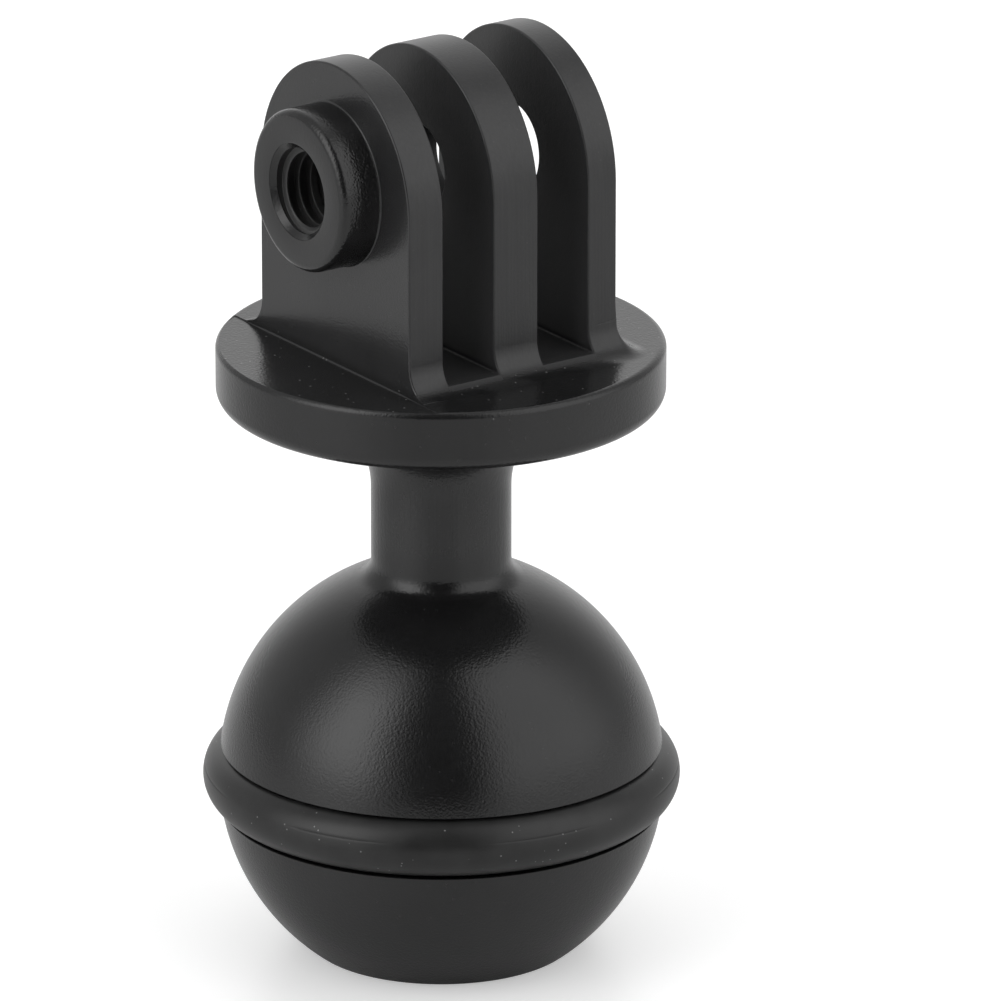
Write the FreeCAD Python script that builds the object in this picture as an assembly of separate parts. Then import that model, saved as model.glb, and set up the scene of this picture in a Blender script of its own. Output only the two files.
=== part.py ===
import FreeCAD, Part
import math
import os
from FreeCAD import Vector

# Ball adapter for a three-lug action-camera clevis: one machined body and the rubber ring of its ball.
# Millimetres. The origin is the ball's centre, +Z runs up the neck, and X is the screw's axis, boss at -X.

# Ball
ball_diameter = 25.4
foot_flat_diameter = 15.2

# Rubber ring round the ball's equator
ring_section = 3.53
ring_outer_diameter = 27.16
ring_side_clearance = 0.035
ring_seat_clearance = 0.02

# Neck
neck_diameter = 7.96
neck_foot_fillet = 1.3
neck_head_fillet = 5.0

# Flange
flange_diameter = 25.4
flange_thickness = 3.6
flange_height = 22.3
flange_under_edge_radius = 1.0
flange_top_edge_radius = 0.4
boss_side_step = 0.06

# Lugs
middle_lug_thickness = 3.0
boss_lug_thickness = 2.3
far_lug_thickness = 1.95
slot_width = 3.4
slot_floor_rise = 0.46
lug_width = 14.8
lug_round_drop = 0.46
lug_foot_fillet = 1.8
screw_height = 10.55

# Boss on the outside of the tapped lug
boss_diameter = 9.28
boss_reach = 2.5
boss_edge_radius = 0.5

# Screw holes
tapped_wall_diameter = 4.2
countersink_diameter = 5.55
screw_clearance_diameter = 5.1

# How far each cutting tool starts outside the metal
cut_overrun = 1.0

# Radii and heights that follow
ball_radius = ball_diameter / 2
ring_centre_radius = (ring_outer_diameter - ring_section) / 2
groove_radius = ring_centre_radius - ring_section / 2 - ring_seat_clearance
groove_half_width = ring_section / 2 + ring_side_clearance
foot_radius = foot_flat_diameter / 2
foot_height = -math.sqrt(ball_radius ** 2 - foot_radius ** 2)
neck_radius = neck_diameter / 2
flange_radius = flange_diameter / 2
flange_top = flange_height + flange_thickness
slot_floor = flange_top + slot_floor_rise
screw_axis_height = flange_top + screw_height
lug_radius = lug_width / 2
lug_round_height = screw_axis_height - lug_round_drop
lug_top = lug_round_height + lug_radius
boss_radius = boss_diameter / 2

# Faces of the lugs and of the boss along X
middle_lug_near = -middle_lug_thickness / 2
middle_lug_far = middle_lug_thickness / 2
boss_lug_inner = middle_lug_near - slot_width
boss_lug_outer = boss_lug_inner - boss_lug_thickness
far_lug_inner = middle_lug_far + slot_width
far_lug_outer = far_lug_inner + far_lug_thickness
boss_front = boss_lug_outer - boss_reach

along_x = Vector(1, 0, 0)
along_z = Vector(0, 0, 1)
quarter_turn = 90
full_turn = 360
same_point = 1e-6


class Outline:
    """Closed outline in the plane Y = 0, drawn edge after edge from a first point (x, z)."""

    def __init__(self, x, z):
        self.first = Vector(x, 0, z)
        self.last = self.first
        self.edges = []

    def line(self, x, z):
        """Straight line to (x, z)."""
        target = Vector(x, 0, z)
        if (target - self.last).Length > same_point:
            self.edges.append(Part.makeLine(self.last, target))
        self.last = target
        return self

    def arc(self, x, z, radius, start, end):
        """Arc about (x, z), angles in degrees from +X towards +Z, with a line to where it starts."""
        def on_circle(angle):
            turn = math.radians(angle)
            return Vector(x + radius * math.cos(turn), 0, z + radius * math.sin(turn))
        begin = on_circle(start)
        self.line(begin.x, begin.z)
        self.edges.append(Part.Arc(self.last, on_circle((start + end) / 2), on_circle(end)).toShape())
        self.last = on_circle(end)
        return self

    def face(self):
        """Face inside the outline, closed by a line to the first point."""
        self.line(self.first.x, self.first.z)
        return Part.Face(Part.Wire(self.edges))


def turned_body():
    """Ball with its foot flat and ring groove, neck and flange: one profile turned round the Z axis."""
    lip_angle = math.degrees(math.asin(groove_half_width / ball_radius))
    foot_angle = math.degrees(math.acos(foot_radius / ball_radius))
    foot_fillet = min(neck_foot_fillet, flange_height - ball_radius)
    fillet_centre = neck_radius + foot_fillet
    fillet_height = math.sqrt((ball_radius + foot_fillet) ** 2 - fillet_centre ** 2)
    shoulder_angle = math.degrees(math.atan2(fillet_height, fillet_centre))
    head_fillet = min(neck_head_fillet, flange_height - fillet_height)
    under_edge = flange_under_edge_radius
    top_edge = flange_top_edge_radius
    outline = Outline(0, foot_height)
    outline.arc(0, 0, ball_radius, -foot_angle, -lip_angle)
    outline.line(groove_radius, -groove_half_width)
    outline.line(groove_radius, groove_half_width)
    outline.arc(0, 0, ball_radius, lip_angle, shoulder_angle)
    outline.arc(fillet_centre, fillet_height, foot_fillet,
                shoulder_angle - 2 * quarter_turn, -2 * quarter_turn)
    outline.arc(neck_radius + head_fillet, flange_height - head_fillet, head_fillet,
                2 * quarter_turn, quarter_turn)
    outline.arc(flange_radius - under_edge, flange_height + under_edge, under_edge, -quarter_turn, 0)
    outline.arc(flange_radius - top_edge, flange_top - top_edge, top_edge, 0, quarter_turn)
    outline.line(0, flange_top)
    return outline.face().revolve(Vector(0, 0, 0), along_z, full_turn)


def boss_side_cut():
    """Shallow pass over the flange on the boss side, up to the plane of the tapped lug's outer face."""
    reach = flange_radius + cut_overrun
    corner = Vector(-reach, -reach, flange_top - boss_side_step)
    return Part.makeBox(reach + boss_lug_outer, 2 * reach, boss_side_step + cut_overrun, corner)


def lug_block():
    """The three lugs as one block: round top, upright sides, and feet that flow out into the flange."""
    foot_centre = lug_radius + lug_foot_fillet
    foot_top = flange_top + lug_foot_fillet
    root = flange_top - flange_thickness / 2
    outline = Outline(foot_centre, root)
    outline.arc(foot_centre, foot_top, lug_foot_fillet, -quarter_turn, -2 * quarter_turn)
    outline.arc(0, lug_round_height, lug_radius, 0, 2 * quarter_turn)
    outline.arc(-foot_centre, foot_top, lug_foot_fillet, 0, -quarter_turn)
    outline.line(-foot_centre, root)
    profile = outline.face()
    profile.rotate(Vector(0, 0, 0), along_z, quarter_turn)
    profile.translate(along_x * boss_lug_outer)
    return profile.extrude(along_x * (far_lug_outer - boss_lug_outer))


def far_foot():
    """Foot of the far lug's outer face, the same fillet as at the lugs' sides, turned round both corners."""
    depth = flange_thickness / 2
    outline = Outline(0, flange_top - depth)
    outline.line(lug_foot_fillet, flange_top - depth)
    outline.arc(lug_foot_fillet, flange_top + lug_foot_fillet, lug_foot_fillet, -quarter_turn, -2 * quarter_turn)
    profile = outline.face()
    profile.translate(Vector(far_lug_outer, -lug_radius, 0))
    corner = Vector(far_lug_outer, -lug_radius, 0)
    near_corner = profile.revolve(corner, along_z, -quarter_turn)
    strip = profile.extrude(Vector(0, lug_width, 0))
    far_corner = near_corner.mirror(Vector(0, 0, 0), Vector(0, 1, 0))
    return [near_corner, strip, far_corner]


def slot_cuts():
    """The two slots between the lugs, open at the top and at both sides."""
    reach = lug_radius + lug_foot_fillet + cut_overrun
    height = lug_top - slot_floor + cut_overrun
    return [Part.makeBox(slot_width, 2 * reach, height, Vector(near, -reach, slot_floor))
            for near in (boss_lug_inner, middle_lug_far)]


def boss():
    """Round boss on the tapped lug, with a rounded front edge, turned about the screw's axis."""
    rim = boss_radius - boss_edge_radius
    root = boss_lug_outer + boss_lug_thickness / 2
    outline = Outline(boss_front, screw_axis_height)
    outline.arc(boss_front + boss_edge_radius, screw_axis_height + rim, boss_edge_radius,
                2 * quarter_turn, quarter_turn)
    outline.line(root, screw_axis_height + boss_radius)
    outline.line(root, screw_axis_height)
    return outline.face().revolve(Vector(0, 0, screw_axis_height), along_x, full_turn)


def screw_holes():
    """Tapped hole through the boss and its lug, its countersink, and the clearance hole of the other two lugs."""
    def drill(radius, start, end):
        return Part.makeCylinder(radius, end - start, Vector(start, 0, screw_axis_height), along_x)
    tapped_radius = tapped_wall_diameter / 2
    sink_radius = countersink_diameter / 2 + cut_overrun
    sink_start = boss_front - cut_overrun
    countersink = Part.makeCone(sink_radius, tapped_radius, sink_radius - tapped_radius,
                                Vector(sink_start, 0, screw_axis_height), along_x)
    return [drill(tapped_radius, sink_start, boss_lug_inner + slot_width / 2),
            countersink,
            drill(screw_clearance_diameter / 2, middle_lug_near - slot_width / 2, far_lug_outer + cut_overrun)]


def adapter_body():
    """The whole machined body: turned, milled and drilled from one bar."""
    turned = turned_body().cut(boss_side_cut())
    milled = turned.fuse([lug_block(), boss()] + far_foot()).cut(slot_cuts())
    return milled.cut(screw_holes()).removeSplitter()


def ball_o_ring():
    """Rubber ring that sits in the ball's groove and stands a little proud of the ball."""
    return Part.makeTorus(ring_centre_radius, ring_section / 2)


os.makedirs("parts", exist_ok=True)
for name, make in (("adapter_body", adapter_body), ("ball_o_ring", ball_o_ring)):
    shape = make()
    solid = shape.Solids[0] if len(shape.Solids) == 1 else shape
    print(name, "solids", len(shape.Solids), "valid", shape.isValid(), "volume", round(shape.Volume, 1))
    solid.exportStep("parts/" + name + ".step")
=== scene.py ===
import math

import bmesh
import bpy
import numpy as np
from mathutils import Matrix, Vector


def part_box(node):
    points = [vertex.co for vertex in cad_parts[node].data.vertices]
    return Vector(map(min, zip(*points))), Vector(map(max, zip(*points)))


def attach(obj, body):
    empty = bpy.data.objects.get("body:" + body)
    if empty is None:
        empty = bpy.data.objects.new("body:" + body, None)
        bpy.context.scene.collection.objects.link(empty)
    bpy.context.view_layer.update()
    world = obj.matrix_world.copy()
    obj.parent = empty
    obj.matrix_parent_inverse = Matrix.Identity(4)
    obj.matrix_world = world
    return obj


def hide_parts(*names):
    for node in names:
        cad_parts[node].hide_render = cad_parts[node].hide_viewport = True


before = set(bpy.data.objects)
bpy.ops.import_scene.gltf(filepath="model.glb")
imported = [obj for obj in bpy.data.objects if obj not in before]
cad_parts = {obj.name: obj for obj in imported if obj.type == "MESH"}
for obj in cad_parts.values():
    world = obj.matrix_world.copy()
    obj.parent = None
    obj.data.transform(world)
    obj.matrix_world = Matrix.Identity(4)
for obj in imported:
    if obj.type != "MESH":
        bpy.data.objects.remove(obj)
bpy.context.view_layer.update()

# Sizes in millimetres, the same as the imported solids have. The origin is the ball's centre, +Z runs up the
# neck, and X is the screw's axis with the boss at -X.
MM = 0.001

# Ball, its foot flat and its ring groove
BALL_R = 12.7
FOOT_R = 7.6
FOOT_ROUND = 0.12
GROOVE_R = 10.03
GROOVE_HALF = 1.8
GROOVE_LIP = 0.03

# Rubber ring, and the mould line that shows on stretches of it
RING_OUTER_R = 13.58
RING_SECTION_R = 1.765
RING_SEAM_ANGLE = 19.0
RING_SEAM_DEPTH = 0.025
RING_SEAM_HALF = 0.06
RING_SEAM_RUNS = 7
RING_SEAM_FIRST = -151.0
RING_SEAM_MEAN = 0.3
RING_SEAM_SWING = 1.4

# Neck, with one more row of points part of the way down
NECK_R = 3.98
NECK_FOOT_FILLET = 1.3
NECK_HEAD_FILLET = 5.0
NECK_ROW_Z = 15.0

# Flange
FLANGE_R = 12.7
FLANGE_UNDER = 22.3
FLANGE_TOP = 25.9
UNDER_ROUND = 1.0
TOP_ROUND = 0.4
BOSS_SIDE_TOP = 25.84

# Lugs: the six faces along X, from the boss side to the far side, and which two of them each lug and slot
# lies between
LUG_FACES = (-7.2, -4.9, -1.5, 1.5, 4.9, 6.85)
LUGS = ((0, 1), (2, 3), (4, 5))
SLOTS = ((1, 2), (3, 4))
BOSS_SIDE, FAR_SIDE = 0, 5
LUG_HALF = 7.4
LUG_FOOT_FILLET = 1.8
SLOT_FLOOR = 26.36
SCREW_Z = 36.45
LUG_ROUND_Z = 35.99
CLEARANCE_R = 2.55

# Boss, with one more row of points along it, then countersink and thread
BOSS_R = 4.64
BOSS_FRONT = -9.7
BOSS_ROUND = 0.5
BOSS_ROW_X = -8.2
SINK_R = 2.775
THREAD_MINOR_R = 2.1
THREAD_MAJOR_R = 2.46
THREAD_PITCH = 0.8
CREST_HALF = 0.05
FLANK_RUN = 0.1
FIRST_CREST = 0.82
THREAD_ROWS = 320

# Broken edges and milled corners: the full width, and the share of it at each kind of edge
EDGE_BREAK = 0.12
CORNER_SHARE = 1.0
FLOOR_EDGE_SHARE = 0.3
HOLE_SHARE = 0.4
SINK_SHARE = 0.25
THREAD_END_SHARE = 0.8
SHARP_ANGLE = 30
SHARP = -1.0

# Where a foot runs out at the flange: how high its edge break begins, and over what height it grows to full
FADE_START = 0.08
FADE_RUN = 0.3

# Where the boss lug stands on the step: points along the corner, and the share of the edge break between them
SILL_Y = (-10.0, -8.6, -7.9, -7.4, -6.9, 0.0, 6.9, 7.4, 7.9, 8.6, 10.0)
SILL_SHARES = (0.25, 0.3, 0.45, 0.7, 1.0, 1.0, 0.7, 0.45, 0.3, 0.25)

# Where the far lug's corners grow out of the fillet round them: rises above it, and the edge's share at each
CORNER_RISES = (0.2, 0.5, 0.8, 1.2)
CORNER_SHARES = (0.0, 0.25, 0.5, 0.75, 1.0)

# How finely each kind of line is divided
TURNED_MAIN = 132
TURNED_BOSS = 60
SCREW_TURN = 128
CORNER_STEPS = 12
FILLET_ROWS = 8
FILLET_LOW_ROWS = 5
TOP_ROUND_STEPS = 8
STEP_ROUND_STEPS = 5
UNDER_ROUND_STEPS = 16
NECK_HEAD_STEPS = 24
NECK_FOOT_STEPS = 12
UPPER_BALL_STEPS = 44
LOWER_BALL_STEPS = 34
BOSS_ROUND_STEPS = 9
RING_SECTION_STEPS = 72
RING_TURN = 240
RING_SEAM_STEPS = 8

# Black anodise: for each texture its size in millimetres and how much of the height it makes, how much the
# grain gains above the flange and loses again on the lugs and the boss's front, and the bump's reach in
# millimetres
PEEL_SIZE, PEEL = 0.2, 0.45
GRAIN_SIZE, GRAIN = 0.12, 0.4
STREAK_SIZE, STREAK = 0.16, 0.45
STREAK_STRETCH = (1, 1, 0.02)
GRAIN_GAIN = 0.4
GRAIN_LOSS = 0.9
CLOUD_SIZE = 2.5
BODY_BUMP = 0.021

# Zones of the body: the stretch of X, |X|, |Y|, Z or distance from the screw's axis over which each mask
# climbs, and for a window the one over which it falls again
ABOVE_FLANGE_Z = (26, 28)
LUG_ZONE_Z = (25.95, 26.6)
LUG_ZONE_X = (-7.3, -7.22)
MATT_ZONE_X = (-7.18, -7.08)
NECK_BRUSHED_Z = ((12.9, 13.4), (17, 21))
NECK_HAZE_Z = ((13.2, 15), (19, 21))
LUG_SIDES_Y = ((7.3, 7.38), (7.5, 7.9))
SLOT_ZONE_X = ((1.45, 1.49), (4.91, 4.95))
SLOT_ZONE_Z = ((26.1, 26.2), (36, 43))
DEEP_ZONE_Z = ((26.4, 26.8), (27, 38))
DEEP_ZONE_Y = (3, 9)
THREAD_ZONE_X = ((-9.4, -9.3), (-4.95, -4.9))
THREAD_ZONE_R = (2.55, 2.6)
BOSS_FRONT_R = (4.1, 4.5)
DUSTY_Z = ((25.3, 25.6), (26, 26.3))

# Colours. A pair gives the two ends of a blend, BLOTCH the stretch of the clouds over which most of them run,
# and NECK_HAZE how far the neck goes towards the lugs' haze
POLISHED = ((0.0078, 0.0078, 0.008), (0.0115, 0.0115, 0.0118))
HAZY = ((0.018, 0.018, 0.0185), (0.025, 0.025, 0.0255))
# The slots' colour runs from a dull grey near their mouths to painted light, a pale grey that lifts the shade
# deep inside them
SLOT_TONE_AND_PAINTED_LIGHT = ((0.019, 0.019, 0.0195), (0.15, 0.15, 0.152))
RUBBER = ((0.01, 0.01, 0.01), (0.016, 0.016, 0.016))
# The tapped hole's one flat tone, lighter than the body: painted light in the bore's shade
THREAD_PAINTED_LIGHT = (0.025, 0.025, 0.025)
BODY_DUST = (0.12, 0.12, 0.12)
RING_DUST = (0.16, 0.16, 0.16)
BLOTCH = (0.3, 0.7)
NECK_HAZE = 0.5

# Dust: how far apart its points lie and how large half a speck is, the share of that which is solid, the
# level that a point's own random number has to pass to carry one, and how strongly specks show off the
# flange's top
BODY_SPECKS = (0.45, 0.065)
RING_SPECKS = (0.42, 0.055)
SPECK_CORE = 0.7
SPECK_LEVEL = 0.65
DUST_ELSEWHERE = 0.1

# Roughness of the body and what each zone adds to it, then the rubber's own, its grain, clouds and bump
BODY_ROUGHNESS = 0.2
CLOUD_ROUGHNESS = 0.04
MATT_ROUGHNESS = 0.1
SLOT_ROUGHNESS = 0.15
THREAD_ROUGHNESS = 0.2
BODY_IOR = 1.5
RUBBER_ROUGHNESS = 0.31
RUBBER_CLOUD_ROUGHNESS = 0.08
RUBBER_IOR = 1.47
RUBBER_GRAIN_SIZE = 0.09
RUBBER_CLOUD_SIZE = 1.8
RUBBER_BUMP_STRENGTH = 0.2
RUBBER_BUMP = 0.03

# Studio: a level is what a surface would show that reflected all of it. Angles are in degrees, with the
# azimuth counted from the camera's own, plus to its right
FILL_ANGLE = 80
FILL_LEVEL = 0.25
SIDE_LEVEL = 0.52
BACK_LEVEL = 1.0
BACK_AZIMUTH = (130, 170)
TOP_DROP = 0.5
TOP_HEIGHT = (15, 70)
FRONT_LEVEL = 0.01
FRONT_AZIMUTH = (14, 32)
LEFT_BOX = 2.0
LEFT_AZIMUTH = ((-98, -60), (-48, -26))
LEFT_HEIGHT = ((-14, 24), (42, 75))
RIGHT_BOX = 0.85
RIGHT_AZIMUTH = ((16, 46), (80, 122))
RIGHT_HEIGHT = ((-14, 16), (58, 84))
FLOOR_HALF = 3.0
FLOOR_WHITE = 0.7
FLOOR_ROUGHNESS = 0.35
FLOOR_IOR = 1.5
FLOOR_LIFT = 0.42

# Camera, as fitted to the photograph: distance and angles, then where the ball's centre falls in the picture
CAMERA_DISTANCE = 700.0
CAMERA_AZIMUTH = -34.45
CAMERA_ELEVATION = 20.99
CAMERA_ROLL = -0.091
PIXELS_PER_MM = 17.551
PICTURE = 1001
BALL_PIXEL = (441.57, 769.15)
SENSOR = 36.0


def turn(degrees):
    """Radians for an angle in degrees."""
    return math.radians(degrees)


class Quilt:
    """A closed mesh sewn from patches. Points that meet within a tenth of a micron become one, and chosen
    seams carry a share of the edge break for the Bevel modifier."""

    # The width of the cells in which points meet, and a shift that keeps round numbers off the cells' borders
    JOIN = 1e-4
    OFFSET = 0.371

    def __init__(self):
        self.points = []
        self.faces = []
        self.seams = []
        self.count = 0

    def _store(self, points):
        """Adds points, an array whose last axis is X, Y, Z, and returns their numbers in the same layout."""
        flat = points.reshape(-1, 3)
        numbers = np.arange(self.count, self.count + len(flat)).reshape(points.shape[:-1])
        self.points.append(flat)
        self.count += len(flat)
        return numbers

    def _seam(self, numbers, share):
        """Marks the edges between neighbours in a row of points with a share, one for all or one per edge.
        SHARP leaves an edge unbroken and parts the smooth shading there."""
        shares = np.broadcast_to(share, len(numbers) - 1)
        self.seams.append((numbers[:-1], numbers[1:], shares))

    def sheet(self, points, top=0, bottom=0, left=0, right=0):
        """Adds a grid of quads. Rows run down the first axis and columns along the second. top, bottom, left
        and right are the shares of its border seams."""
        grid = self._store(points)
        quads = np.stack([grid[:-1, :-1], grid[:-1, 1:], grid[1:, 1:], grid[1:, :-1]], axis=-1)
        self.faces.extend(quads.reshape(-1, 4).tolist())
        for row, share in ((grid[0], top), (grid[-1], bottom), (grid[:, 0], left), (grid[:, -1], right)):
            if np.any(share):
                self._seam(row, share)

    def plate(self, loop, share=0):
        """Adds one flat face round a loop of points, with a share for its border where that is a seam."""
        ring = self._store(loop)
        self.faces.append(ring.tolist())
        if np.any(share):
            self._seam(np.append(ring, ring[0]), share)

    def mesh(self, name):
        """The sewn mesh in metres, with its faces turned outwards and its seams in bevel_weight_edge."""
        points = np.concatenate(self.points)
        keys = np.floor(points / self.JOIN + self.OFFSET).astype(np.int64)
        first, place = np.unique(keys, axis=0, return_index=True, return_inverse=True)[1:]
        place = place.reshape(-1)
        faces = []
        for face in self.faces:
            corners = place[face]
            kept = corners[corners != np.roll(corners, 1)]
            if len(kept) > 2:
                faces.append(kept.tolist())
        data = bpy.data.meshes.new(name)
        data.from_pydata(points[first] * MM, [], faces)
        work = bmesh.new()
        work.from_mesh(data)
        bmesh.ops.recalc_face_normals(work, faces=work.faces)
        for edge in work.edges:
            if not edge.is_manifold:
                raise SystemExit(f"{name} is open near {[tuple(v.co / MM) for v in edge.verts]}")
        bends = np.array([edge.calc_face_angle() for edge in work.edges])
        work.to_mesh(data)
        work.free()
        span = len(first)
        ends = np.empty(len(data.edges) * 2, dtype=np.int32)
        data.edges.foreach_get("vertices", ends)
        ends = np.sort(ends.reshape(-1, 2), axis=1).astype(np.int64)
        codes = ends[:, 0] * span + ends[:, 1]
        order = np.argsort(codes)
        weights = np.zeros(len(codes), dtype=np.float32)
        for start, stop, shares in self.seams:
            a, b = place[start], place[stop]
            real = a != b
            wanted = np.minimum(a, b) * span + np.maximum(a, b)
            found = order[np.searchsorted(codes, wanted[real], sorter=order)]
            weights[found] = np.asarray(shares)[real]
        layer = data.attributes.new("bevel_weight_edge", "FLOAT", "EDGE")
        layer.data.foreach_set("value", np.maximum(weights, 0))
        sharp = data.attributes.new("sharp_edge", "BOOLEAN", "EDGE")
        sharp.data.foreach_set("value", (weights < 0) | (weights == 0) & (bends > turn(SHARP_ANGLE)))
        data.update()
        return data


def arc(centre, radius, start, stop, steps):
    """Points (first, second) on a circle about centre, start to stop degrees: centre + radius (cos, sin)."""
    angle = np.radians(np.linspace(start, stop, steps + 1))
    return np.stack([centre[0] + radius * np.cos(angle), centre[1] + radius * np.sin(angle)], axis=-1)


def chain(*runs):
    """Runs of 2-D points joined end to end, with the point that two runs share kept once."""
    parts = [runs[0]] + [run[1:] for run in runs[1:]]
    return np.concatenate([np.asarray(part, dtype=float) for part in parts])


def step_angle(radius):
    """Angle from +X, in degrees, at which a circle of this radius about Z meets the step plane."""
    return np.degrees(np.arccos(LUG_FACES[BOSS_SIDE] / radius))


def main_columns(radius):
    """Angles round Z on the main side of the step plane, evenly spread between its two crossings."""
    return step_angle(radius) * np.linspace(-1, 1, TURNED_MAIN + 1)


def boss_columns(radius):
    """Angles round Z on the boss side of the step plane, evenly spread between its two crossings."""
    start = step_angle(radius)
    return np.linspace(start, 360 - start, TURNED_BOSS + 1)


def turned(profile, columns):
    """Surface of revolution about Z: point (r, z) of the profile at angle a goes to (r cos a, r sin a, z)."""
    angle = np.radians(columns)
    radius, height = profile[:, :1], profile[:, 1:]
    return np.stack([radius * np.cos(angle), radius * np.sin(angle), height + 0 * angle], axis=-1)


def about_screw(profile, angles):
    """Surface of revolution about the screw: (x, r) at angle a goes to (x, r cos a, screw z + r sin a)."""
    angle = np.radians(angles)
    along, radius = profile[:, :1], profile[:, 1:]
    return np.stack([along + 0 * angle, radius * np.cos(angle), SCREW_Z + radius * np.sin(angle)], axis=-1)


def turned_profile(first_round_angle):
    """Profile (r, z) from the flange's upper round down over rim, neck, ball and groove to the foot flat."""
    top_rim, under_rim = FLANGE_R - TOP_ROUND, FLANGE_R - UNDER_ROUND
    foot_centre = NECK_R + NECK_FOOT_FILLET
    foot_height = math.sqrt((BALL_R + NECK_FOOT_FILLET) ** 2 - foot_centre ** 2)
    shoulder = math.degrees(math.atan2(foot_height, foot_centre))
    lip = math.degrees(math.asin((GROOVE_HALF + GROOVE_LIP) / BALL_R))
    lip_r = BALL_R * math.cos(turn(lip))
    flat = math.degrees(math.acos(FOOT_R / BALL_R))
    flat_start = flat - math.degrees(FOOT_ROUND / BALL_R)
    foot_z = -BALL_R * math.sin(turn(flat))
    return chain(
        arc((top_rim, FLANGE_TOP - TOP_ROUND), TOP_ROUND, first_round_angle, 0, TOP_ROUND_STEPS),
        arc((under_rim, FLANGE_UNDER + UNDER_ROUND), UNDER_ROUND, 0, -90, UNDER_ROUND_STEPS),
        [(under_rim, FLANGE_UNDER), (NECK_R + NECK_HEAD_FILLET, FLANGE_UNDER)],
        arc((NECK_R + NECK_HEAD_FILLET, FLANGE_UNDER - NECK_HEAD_FILLET), NECK_HEAD_FILLET, 90, 180,
            NECK_HEAD_STEPS),
        [(NECK_R, FLANGE_UNDER - NECK_HEAD_FILLET), (NECK_R, NECK_ROW_Z), (NECK_R, foot_height)],
        arc((foot_centre, foot_height), NECK_FOOT_FILLET, 180, 180 + shoulder, NECK_FOOT_STEPS),
        arc((0, 0), BALL_R, shoulder, lip, UPPER_BALL_STEPS),
        [(lip_r, GROOVE_HALF + GROOVE_LIP), (lip_r - GROOVE_LIP, GROOVE_HALF), (GROOVE_R, GROOVE_HALF),
         (GROOVE_R, -GROOVE_HALF), (lip_r - GROOVE_LIP, -GROOVE_HALF), (lip_r, -GROOVE_HALF - GROOVE_LIP)],
        arc((0, 0), BALL_R, -lip, -flat_start, LOWER_BALL_STEPS),
        [(BALL_R * math.cos(turn(flat_start)), -BALL_R * math.sin(turn(flat_start))),
         (FOOT_R - FOOT_ROUND, foot_z)])


def lug_outline():
    """Half outlines (y, z) of the lugs on the +Y side: the low part of the foot fillet, below the slot floor,
    and the part above it, up to the level of the screw."""
    centre = (LUG_HALF + LUG_FOOT_FILLET, FLANGE_TOP + LUG_FOOT_FILLET)
    split = -180 + math.degrees(math.asin((centre[1] - SLOT_FLOOR) / LUG_FOOT_FILLET))
    low = arc(centre, LUG_FOOT_FILLET, -90, split, FILLET_LOW_ROWS)
    high = chain(arc(centre, LUG_FOOT_FILLET, split, -180, FILLET_ROWS),
                 [(LUG_HALF, centre[1]), (LUG_HALF, LUG_ROUND_Z)])
    return low, high


def flipped(outline):
    """The outline on the -Y side, in the opposite order."""
    return outline[::-1] * (-1, 1)


def on_face(x, outline):
    """Points (y, z) set on the plane at x."""
    return np.column_stack([np.full(len(outline), float(x)), outline])


def on_level(spots, height):
    """Points (x, y) set on the plane at height, one for all or one for each."""
    return np.column_stack([spots, np.broadcast_to(height, len(spots))])


def about_corner(profile, angles):
    """Surface of revolution about the far lug's upright edge at -Y: (r, z) at angle a, counted from -Y
    towards +X, goes to (edge x + r sin a, edge y - r cos a, z)."""
    angle = np.radians(angles)
    radius, height = profile[:, :1], profile[:, 1:]
    return np.stack([LUG_FACES[FAR_SIDE] + radius * np.sin(angle), -LUG_HALF - radius * np.cos(angle),
                     height + 0 * angle], axis=-1)


def fade(height):
    """Share of the edge break: none where a face runs out to nothing at the flange, full a little higher."""
    return np.clip((height - FLANGE_TOP - FADE_START) / FADE_RUN, 0, 1)


def sill_shares(count, start):
    """Shares for the border of a flat face: the sill's own from its first point on, none elsewhere."""
    shares = np.zeros(count)
    shares[start:start + len(SILL_SHARES)] = SILL_SHARES
    return shares


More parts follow.
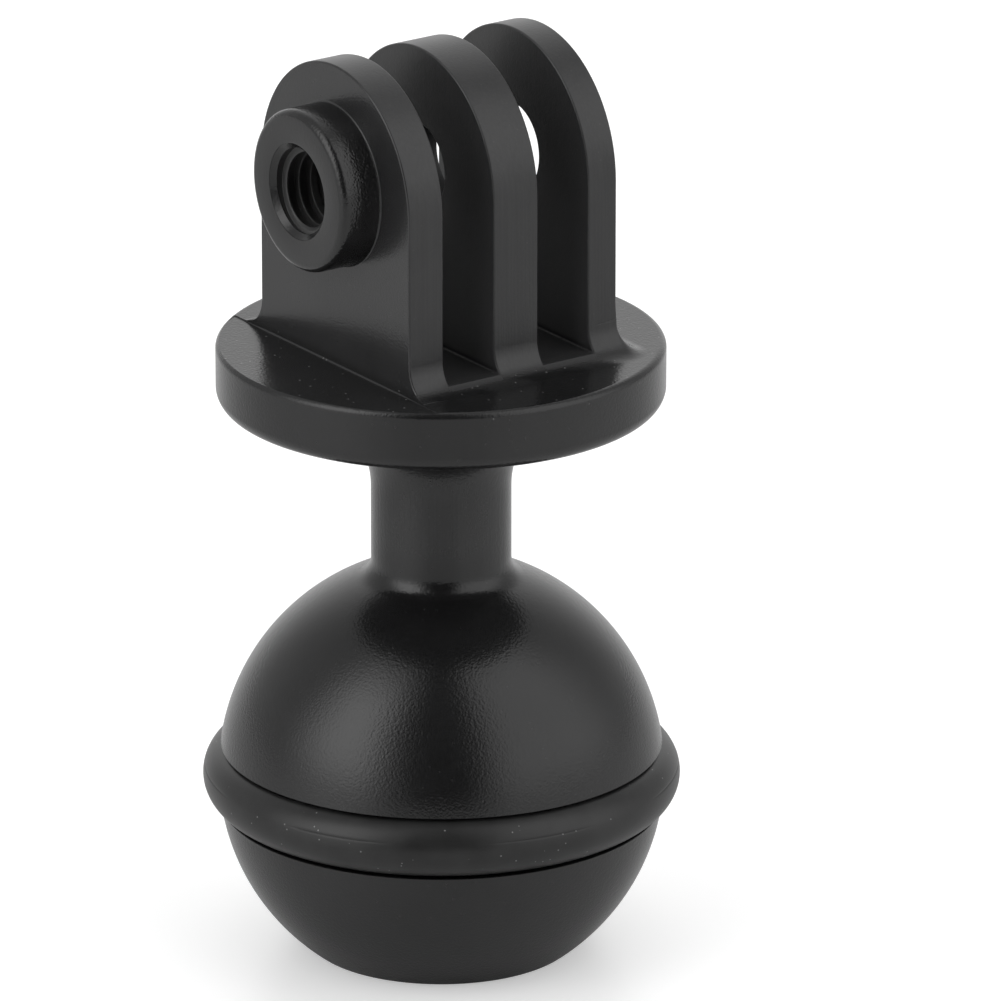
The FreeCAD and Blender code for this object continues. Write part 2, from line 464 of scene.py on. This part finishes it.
def body_mesh():
    """The machined body: turned rim, neck and ball, flange top with its step, lugs, slots, boss and holes."""
    quilt = Quilt()
    low, high = lug_outline()
    top = arc((0, LUG_ROUND_Z), LUG_HALF, 0, 180, SCREW_TURN // 2)

    # Turned surfaces, on both sides of the step plane
    round_angle = math.degrees(math.asin((BOSS_SIDE_TOP - FLANGE_TOP + TOP_ROUND) / TOP_ROUND))
    profile = turned_profile(round_angle)
    step_r = profile[0, 0]
    columns = np.concatenate([main_columns(step_r), boss_columns(step_r)[1:]])
    quilt.sheet(turned(profile, columns))
    foot = profile[-1:]
    quilt.plate(turned(foot, columns[:-1])[0])
    upper = arc((FLANGE_R - TOP_ROUND, FLANGE_TOP - TOP_ROUND), TOP_ROUND, 90, round_angle, STEP_ROUND_STEPS)
    rows = [turned(point[None], main_columns(point[0]))[0] for point in upper]
    quilt.sheet(np.stack(rows))

    # Flange top beside and beyond the lugs, and the lower segment on the boss side
    foot_y = low[0, 0]
    row = on_level(np.array([(x, -foot_y) for x in LUG_FACES]), FLANGE_TOP)
    bend = arc((LUG_FACES[FAR_SIDE], -LUG_HALF), LUG_FOOT_FILLET, -90, 0, CORNER_STEPS)
    front = np.concatenate([row, on_level(bend[1:], FLANGE_TOP)])
    quilt.plate(np.concatenate([front, (front * (1, -1, 1))[::-1], rows[0][::-1]]))
    segment = turned(profile[:1], boss_columns(step_r))[0]
    sill = [(LUG_FACES[BOSS_SIDE], y, BOSS_SIDE_TOP) for y in SILL_Y]
    loop = np.concatenate([segment, sill])
    quilt.plate(loop, share=sill_shares(len(loop), len(segment)))

    # Foot fillets below the slot floors, across all three lugs
    for outline in (low, flipped(low)):
        strip = np.stack([on_face(x, outline) for x in LUG_FACES], axis=1)
        quilt.sheet(strip, left=fade((outline[1:, 1] + outline[:-1, 1]) / 2))

    # Foot fillet of the far lug's outer face, which turns round both of its corners
    foot_arc = high[:FILLET_ROWS + 1]
    fillet = chain(low, foot_arc) - (LUG_HALF, 0)
    peak = np.zeros(len(fillet) - 1)
    peak[-1] = SHARP
    for side in (1, -1):
        for first, last in ((0, 45), (45, 90)):
            corner = about_corner(fillet, np.linspace(first, last, CORNER_STEPS // 2 + 1)) * (1, side, 1)
            quilt.sheet(corner, right=peak if last == 45 else 0)
    quilt.sheet(np.stack([corner[:, -1] * (1, -1, 1), corner[:, -1]], axis=1))

    # Outsides of the lugs, and the slot floors with their front and back edges
    upright = np.concatenate([high[-2:-1], [high[-2] + (0, rise) for rise in CORNER_RISES], high[-1:]])
    for first, last in LUGS:
        far = last == FAR_SIDE
        for run in (foot_arc, top, flipped(foot_arc)):
            skirt = np.stack([on_face(LUG_FACES[first], run), on_face(LUG_FACES[last], run)], axis=1)
            quilt.sheet(skirt, left=1, right=0 if far and run is not top else 1)
        outer = upright if far else high[-2:]
        shares = (*(CORNER_SHARES if far else (1,)), 0, 1, 0)
        for side in (1, -1):
            loop = np.concatenate([on_face(LUG_FACES[last], outer), on_face(LUG_FACES[first], high[:-3:-1])])
            quilt.plate(loop * (1, side, 1), share=shares)
    mouth = high[0, 0]
    for first, last in SLOTS:
        corners = [(LUG_FACES[first], -mouth), (LUG_FACES[last], -mouth), (LUG_FACES[last], mouth),
                   (LUG_FACES[first], mouth)]
        bottom = np.array([(x, y, SLOT_FLOOR) for x, y in corners])
        quilt.plate(bottom, share=[FLOOR_EDGE_SHARE, CORNER_SHARE, FLOOR_EDGE_SHARE, CORNER_SHARE])

    # Faces of the lugs: a ring of quads above the screw's level and one flat face below it
    for number, x in enumerate(LUG_FACES):
        hole_r = {BOSS_SIDE: BOSS_R, BOSS_SIDE + 1: THREAD_MINOR_R}.get(number, CLEARANCE_R)
        hole = arc((0, SCREW_Z), hole_r, 0, 360, SCREW_TURN)
        half = SCREW_TURN // 2
        quilt.sheet(np.stack([on_face(x, top), on_face(x, hole[:half + 1])]))
        if number == BOSS_SIDE:
            rise = np.array([(math.sqrt(r ** 2 - x ** 2), z) for r, z in upper[::-1]])
            edge = chain(rise, [(rise[-1, 0], FLANGE_TOP), low[0]], low, high)
            base = [(y, BOSS_SIDE_TOP) for y in SILL_Y]
        else:
            edge = upright if number == FAR_SIDE else high
            base = np.zeros((0, 2))
        below = np.concatenate([np.reshape(base, (-1, 2)), edge, hole[half:][::-1], flipped(edge)])
        quilt.plate(on_face(x, below))

    # Clearance hole through the middle and far lugs
    angles = np.linspace(0, 360, SCREW_TURN + 1)
    for first, last in LUGS[1:]:
        wall = np.array([(LUG_FACES[first], CLEARANCE_R), (LUG_FACES[last], CLEARANCE_R)])
        quilt.sheet(about_screw(wall, angles), top=HOLE_SHARE, bottom=HOLE_SHARE)

    # Boss with its rounded front edge, then the countersink and thread
    shell = chain([(LUG_FACES[BOSS_SIDE], BOSS_R), (BOSS_ROW_X, BOSS_R), (BOSS_FRONT + BOSS_ROUND, BOSS_R)],
                  arc((BOSS_FRONT + BOSS_ROUND, BOSS_R - BOSS_ROUND), BOSS_ROUND, 90, 180, BOSS_ROUND_STEPS),
                  [(BOSS_FRONT, BOSS_R - BOSS_ROUND), (BOSS_FRONT, SINK_R)])
    quilt.sheet(about_screw(shell, angles), top=CORNER_SHARE, bottom=SINK_SHARE)
    quilt.sheet(thread_wall(angles), bottom=THREAD_END_SHARE)
    return quilt.mesh("machined_body")


def thread_wall(angles):
    """Wall of the tapped hole as a height field: the larger of the countersink's cone, r = mouth - depth, and
    a right-hand thread that steps in each pitch from a crest at the minor radius to a root at the major."""
    mouth, end = BOSS_FRONT, LUG_FACES[BOSS_SIDE + 1]
    x = np.linspace(mouth, end, THREAD_ROWS + 1)[:, None]
    angle = np.radians(angles)[None]
    turns = (x - mouth - FIRST_CREST) / THREAD_PITCH - angle / (2 * np.pi)
    from_crest = np.abs((turns + 0.5) % 1.0 - 0.5) * THREAD_PITCH
    flank = np.clip((from_crest - CREST_HALF) / FLANK_RUN, 0, 1)
    cut = flank * flank * (3 - 2 * flank)
    runout = np.clip((end - x) / THREAD_PITCH, 0, 1)
    thread = THREAD_MINOR_R + (THREAD_MAJOR_R - THREAD_MINOR_R) * cut * runout
    radius = np.maximum(thread, SINK_R - (x - mouth))
    return np.stack([x + 0 * angle, radius * np.cos(angle), SCREW_Z + radius * np.sin(angle)], axis=-1)


def ring_mesh():
    """The rubber ring: a torus, ((R + s cos v) cos a, (R + s cos v) sin a, s sin v), whose section s dips by
    a hair in a narrow band above the middle, where the mould's halves met. The dip comes and goes with a."""
    quilt = Quilt()
    band = np.degrees(RING_SEAM_HALF / RING_SECTION_R)
    seam = RING_SEAM_ANGLE + np.linspace(-band, band, RING_SEAM_STEPS + 1)
    rows = np.unique(np.concatenate([np.linspace(-180, 180, RING_SECTION_STEPS + 1), seam]))
    v = np.radians(rows)[:, None]
    a = np.radians(np.linspace(0, 360, RING_TURN + 1))[None]
    wave = np.cos(RING_SEAM_RUNS * (a - turn(RING_SEAM_FIRST)))
    worn = np.clip(RING_SEAM_MEAN + RING_SEAM_SWING * wave, 0, 1)
    dip = np.clip(1 - np.abs(np.degrees(v) - RING_SEAM_ANGLE) / band, 0, 1)
    s = RING_SECTION_R - RING_SEAM_DEPTH * worn * dip
    reach = RING_OUTER_R - RING_SECTION_R + s * np.cos(v)
    quilt.sheet(np.stack([reach * np.cos(a), reach * np.sin(a), s * np.sin(v)], axis=-1))
    return quilt.mesh("ring_rubber")


class Value:
    """A shader value. Python's operators on it add the Math nodes that work it out."""

    def __init__(self, nodes, socket):
        self.nodes = nodes
        self.socket = socket

    def __add__(self, other):
        return self.nodes.math("ADD", self, other)

    def __radd__(self, other):
        return self.nodes.math("ADD", other, self)

    def __sub__(self, other):
        return self.nodes.math("SUBTRACT", self, other)

    def __rsub__(self, other):
        return self.nodes.math("SUBTRACT", other, self)

    def __mul__(self, other):
        return self.nodes.math("MULTIPLY", self, other)

    def __rmul__(self, other):
        return self.nodes.math("MULTIPLY", other, self)

    def __gt__(self, other):
        return self.nodes.math("GREATER_THAN", self, other)


class Nodes:
    """A node tree in the making: add() puts in any node."""

    def __init__(self, tree):
        self.tree = tree
        tree.nodes.clear()

    def add(self, kind, settings, sockets, output=0):
        """A node of a kind, with its settings set first and then the values or links of its sockets."""
        node = self.tree.nodes.new(kind)
        for name, value in settings.items():
            setattr(node, name, value)
        for name, value in sockets.items():
            if isinstance(value, Value):
                self.tree.links.new(value.socket, node.inputs[name])
            else:
                node.inputs[name].default_value = value
        return Value(self, node.outputs[output] if node.outputs else None)

    def math(self, operation, *values):
        """Math node on one or more values."""
        return self.add("ShaderNodeMath", {"operation": operation}, dict(enumerate(values)))

    def step(self, value, low, high):
        """0 below low, 1 above high, smooth between."""
        sockets = {"Value": value, "From Min": low, "From Max": high}
        return self.add("ShaderNodeMapRange", {"interpolation_type": "SMOOTHSTEP"}, sockets)

    def window(self, value, rise, fall):
        """Climbs from 0 to 1 over the first stretch of a value and falls back to 0 over the second."""
        return self.step(value, *rise) * (1 - self.step(value, *fall))


class Finish(Nodes):
    """A material in the making, whose Principled shader takes what it is given."""

    def __init__(self, name):
        self.material = bpy.data.materials.new(name)
        self.material.use_nodes = True
        super().__init__(self.material.node_tree)

    def place(self, stretch=(1, 1, 1)):
        """Object coordinates in millimetres, stretched along the axes."""
        spot = self.add("ShaderNodeTexCoord", {}, {}, "Object")
        scale = tuple(s / MM for s in stretch)
        return self.add("ShaderNodeMapping", {}, {"Vector": spot, "Scale": scale})

    def parts(self, vector):
        """X, Y and Z of a vector."""
        split = self.add("ShaderNodeSeparateXYZ", {}, {"Vector": vector})
        return [Value(self, socket) for socket in split.socket.node.outputs]

    def noise(self, vector, size, detail=2.0, roughness=0.5):
        """Noise from 0 to 1, about 0.5, whose blotches are size millimetres across."""
        sockets = {"Vector": vector, "Scale": 1 / size, "Detail": detail, "Roughness": roughness}
        return self.add("ShaderNodeTexNoise", {}, sockets)

    def cells(self, vector, size, output="Distance"):
        """Distance from the nearest of points scattered size millimetres apart, or that point's own Color."""
        sockets = {"Vector": vector, "Scale": 1 / size}
        return self.add("ShaderNodeTexVoronoi", {"feature": "F1"}, sockets, output)

    def dust(self, vector, apart, half):
        """1 on specks of this half width, which about a third of points scattered this far apart carry."""
        reach = half / apart
        speck = 1 - self.step(self.cells(vector, apart), reach * SPECK_CORE, reach)
        chance = self.parts(self.cells(vector, apart, "Color"))[0]
        return speck * (chance > SPECK_LEVEL)

    def blend(self, share, first, second):
        """Colour from first to second by a share."""
        first, second = (end if isinstance(end, Value) else (*end, 1) for end in (first, second))
        return self.add("ShaderNodeMix", {"data_type": "RGBA"}, {0: share, 6: first, 7: second}, 2)

    def shade(self, **sockets):
        """Principled shader with these sockets, joined to the output."""
        named = {name.replace("_", " "): value for name, value in sockets.items()}
        return self.done(self.add("ShaderNodeBsdfPrincipled", {}, named))

    def done(self, shader):
        """The material, with this shader on its surface."""
        self.add("ShaderNodeOutputMaterial", {}, {"Surface": shader})
        return self.material


def anodised_aluminium():
    """Black anodise over a fine bead-blasted skin. It is brushed round the neck and on the lugs' narrow
    sides, hazy on the lugs and the neck, and duller on the lugs. The walls of the slots are greyer, with
    painted light that lifts their shade to a pale grey deep inside. It is a little dusty on the flange. The
    thread keeps one lighter tone, which is painted light in the bore's shade."""
    finish = Finish("black_anodise")
    spot = finish.place()
    x, y, z = finish.parts(spot)
    beside, ahead = (finish.math("ABSOLUTE", value) for value in (x, y))
    peel = finish.noise(spot, PEEL_SIZE, detail=1.0)
    grain = finish.noise(spot, GRAIN_SIZE, detail=0.0)
    cloud = finish.noise(spot, CLOUD_SIZE, detail=3.0)
    streak = finish.noise(finish.place(STREAK_STRETCH), STREAK_SIZE)

    # Where each finish lies
    lugs = finish.step(z, *LUG_ZONE_Z) * finish.step(x, *LUG_ZONE_X)
    matt = lugs * finish.step(x, *MATT_ZONE_X)
    brushed = finish.window(z, *NECK_BRUSHED_Z) + finish.window(ahead, *LUG_SIDES_Y) * lugs
    slots = finish.window(beside, *SLOT_ZONE_X) * finish.window(z, *SLOT_ZONE_Z)
    # Painted light: this mask marks where the slot walls lie deep and far from the openings, where little
    # light reaches
    deep = finish.window(z, *DEEP_ZONE_Z) * (1 - finish.step(ahead, *DEEP_ZONE_Y))
    off_axis = finish.math("SQRT", y * y + (z - SCREW_Z) * (z - SCREW_Z))
    thread = finish.window(x, *THREAD_ZONE_X) * (1 - finish.step(off_axis, *THREAD_ZONE_R))

    # Relief
    finer = finish.math("MAXIMUM", lugs, 1 - finish.step(off_axis, *BOSS_FRONT_R))
    coarse = 1 + finish.step(z, *ABOVE_FLANGE_Z) * GRAIN_GAIN - finer * GRAIN_LOSS
    blasted = (peel * PEEL + grain * GRAIN) * coarse
    height = blasted + streak * brushed * STREAK
    normal = finish.add("ShaderNodeBump", {}, {"Strength": 1.0, "Distance": BODY_BUMP * MM, "Height": height})

    # Tone
    blotch = finish.step(cloud * 0.5 + streak * 0.5, *BLOTCH)
    polished, hazy = (finish.blend(blotch, *ends) for ends in (POLISHED, HAZY))
    tone = finish.blend(lugs + finish.window(z, *NECK_HAZE_Z) * NECK_HAZE, polished, hazy)
    # Slot walls, lifted by painted light to a pale grey deep inside
    slot_tone_and_painted_light = finish.blend(deep, *SLOT_TONE_AND_PAINTED_LIGHT)
    # The thread takes its flat tone of painted light in place of the body's
    clean = finish.blend(thread, finish.blend(slots, tone, slot_tone_and_painted_light), THREAD_PAINTED_LIGHT)
    settled = DUST_ELSEWHERE + finish.window(z, *DUSTY_Z) * (1 - DUST_ELSEWHERE)
    dusty = finish.dust(spot, *BODY_SPECKS) * settled
    colour = finish.blend(dusty, clean, BODY_DUST)
    roughness = (BODY_ROUGHNESS + cloud * CLOUD_ROUGHNESS + matt * MATT_ROUGHNESS + slots * SLOT_ROUGHNESS
                 + thread * THREAD_ROUGHNESS)
    return finish.shade(Base_Color=colour, Roughness=roughness, Normal=normal, IOR=BODY_IOR)


def ring_rubber():
    """Matt black rubber with a cloudy bloom and specks of dust."""
    finish = Finish("ring_rubber")
    spot = finish.place()
    grain = finish.noise(spot, RUBBER_GRAIN_SIZE, detail=3.0, roughness=0.6)
    cloud = finish.noise(spot, RUBBER_CLOUD_SIZE, detail=3.0)
    relief = {"Strength": RUBBER_BUMP_STRENGTH, "Distance": RUBBER_BUMP * MM, "Height": grain}
    normal = finish.add("ShaderNodeBump", {}, relief)
    clean = finish.blend(finish.step(cloud, *BLOTCH), *RUBBER)
    colour = finish.blend(finish.dust(spot, *RING_SPECKS), clean, RING_DUST)
    roughness = RUBBER_ROUGHNESS + cloud * RUBBER_CLOUD_ROUGHNESS
    return finish.shade(Base_Color=colour, Roughness=roughness, Normal=normal, IOR=RUBBER_IOR)


def piece(name, data, material, node):
    """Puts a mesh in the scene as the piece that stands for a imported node."""
    data.materials.append(material)
    data.polygons.foreach_set("use_smooth", np.ones(len(data.polygons), dtype=bool))
    shown = bpy.data.objects.new(name, data)
    bpy.context.scene.collection.objects.link(shown)
    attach(shown, "root")
    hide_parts(node)
    return shown


body = piece("machined_body", body_mesh(), anodised_aluminium(), "adapter_body")
bevel = body.modifiers.new("edge_breaks", "BEVEL")
bevel.limit_method = "WEIGHT"
bevel.width = EDGE_BREAK * MM
bevel.segments = 3
bevel.use_clamp_overlap = False
bevel.miter_outer = "MITER_SHARP"
evened = body.modifiers.new("evened_normals", "WEIGHTED_NORMAL")
evened.mode = "FACE_AREA"
evened.weight = 80
evened.keep_sharp = True

ring = piece("rubber_ring", ring_mesh(), ring_rubber(), "ball_o_ring")


def place_camera():
    """Camera at the photograph's angle: it stands back from the ball's centre along the line of sight, and is
    turned until the centre falls on its pixel of the picture."""
    azimuth, elevation = turn(CAMERA_AZIMUTH), turn(CAMERA_ELEVATION)
    back = Vector((math.sin(azimuth) * math.cos(elevation), -math.cos(azimuth) * math.cos(elevation),
                   math.sin(elevation)))
    right = Vector((math.cos(azimuth), math.sin(azimuth), 0))
    up = back.cross(right)
    focal = PIXELS_PER_MM * CAMERA_DISTANCE
    middle = PICTURE / 2
    sight = Vector(((BALL_PIXEL[0] - middle) / focal, (middle - BALL_PIXEL[1]) / focal, -1)).normalized()
    aim = sight.rotation_difference(Vector((0, 0, -1))).to_matrix()
    axes = Matrix((right, up, back)).transposed() @ Matrix.Rotation(turn(CAMERA_ROLL), 3, "Z") @ aim
    lens = bpy.data.cameras.new("photo_view")
    lens.sensor_width = SENSOR
    lens.lens = focal / PICTURE * SENSOR
    lens.clip_start = 0.05
    lens.clip_end = 20
    camera = bpy.data.objects.new("photo_view", lens)
    camera.matrix_world = Matrix.Translation(back * CAMERA_DISTANCE * MM) @ axes.to_4x4()
    bpy.context.scene.collection.objects.link(camera)
    bpy.context.scene.camera = camera


def overhead_fill():
    """Wide soft light from straight above for everything matt. The polished surfaces don't mirror it."""
    lamp = bpy.data.lights.new("overhead_fill", "SUN")
    lamp.angle = turn(FILL_ANGLE)
    lamp.energy = FILL_LEVEL * math.pi
    above = bpy.data.objects.new("overhead_fill", lamp)
    above.visible_camera = False
    above.visible_glossy = False
    bpy.context.scene.collection.objects.link(above)


def surround():
    """World: white for the camera. For everything else it is a pale wall beside the part, which turns white
    behind it and darker again high up there. A soft light box stands on each side, and next to nothing is lit
    on the camera's own side."""
    world = bpy.data.worlds.new("surround")
    bpy.context.scene.world = world
    world.use_nodes = True
    sky = Nodes(world.node_tree)
    view = sky.add("ShaderNodeTexCoord", {}, {}, "Generated")

    def along(x, y, z):
        """How far the view points along a direction."""
        return sky.add("ShaderNodeVectorMath", {"operation": "DOT_PRODUCT"}, {0: view, 1: (x, y, z)}, "Value")

    sine, cosine = math.sin(turn(CAMERA_AZIMUTH)), math.cos(turn(CAMERA_AZIMUTH))
    azimuth = sky.math("ARCTAN2", along(cosine, sine, 0), along(sine, -cosine, 0)) * math.degrees(1)
    height = sky.math("ARCSINE", along(0, 0, 1)) * math.degrees(1)
    aside = sky.math("ABSOLUTE", azimuth)
    back = sky.step(aside, *BACK_AZIMUTH) * (1 - TOP_DROP * sky.step(height, *TOP_HEIGHT))
    wall = SIDE_LEVEL + (BACK_LEVEL - SIDE_LEVEL) * back
    left = LEFT_BOX * sky.window(azimuth, *LEFT_AZIMUTH) * sky.window(height, *LEFT_HEIGHT)
    right = RIGHT_BOX * sky.window(azimuth, *RIGHT_AZIMUTH) * sky.window(height, *RIGHT_HEIGHT)
    level = FRONT_LEVEL + wall * sky.step(aside, *FRONT_AZIMUTH) + left + right
    seen = sky.add("ShaderNodeLightPath", {}, {}, "Is Camera Ray")
    shown = level + (1 - level) * seen
    glow = sky.add("ShaderNodeBackground", {}, {"Color": (1, 1, 1, 1), "Strength": shown})
    sky.add("ShaderNodeOutputWorld", {}, {"Surface": glow})


def floor():
    """Plain pale floor under the part. The camera sees it a little brighter than the lamps make it."""
    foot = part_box("adapter_body")[0].z
    data = bpy.data.meshes.new("floor")
    corners = [(x * FLOOR_HALF, y * FLOOR_HALF, foot) for x, y in ((-1, -1), (1, -1), (1, 1), (-1, 1))]
    data.from_pydata(corners, [], [(0, 1, 2, 3)])
    paint = Finish("floor_white")
    white = (FLOOR_WHITE, FLOOR_WHITE, FLOOR_WHITE, 1)
    sockets = {"Base Color": white, "Roughness": FLOOR_ROUGHNESS, "IOR": FLOOR_IOR}
    satin = paint.add("ShaderNodeBsdfPrincipled", {}, sockets)
    seen = paint.add("ShaderNodeLightPath", {}, {}, "Is Camera Ray")
    lift = paint.add("ShaderNodeEmission", {}, {"Strength": FLOOR_LIFT * seen})
    data.materials.append(paint.done(paint.add("ShaderNodeAddShader", {}, {0: satin, 1: lift})))
    ground = bpy.data.objects.new("floor", data)
    bpy.context.scene.collection.objects.link(ground)


place_camera()
floor()
surround()
overhead_fill()
bpy.context.scene.view_settings.view_transform = "Standard"
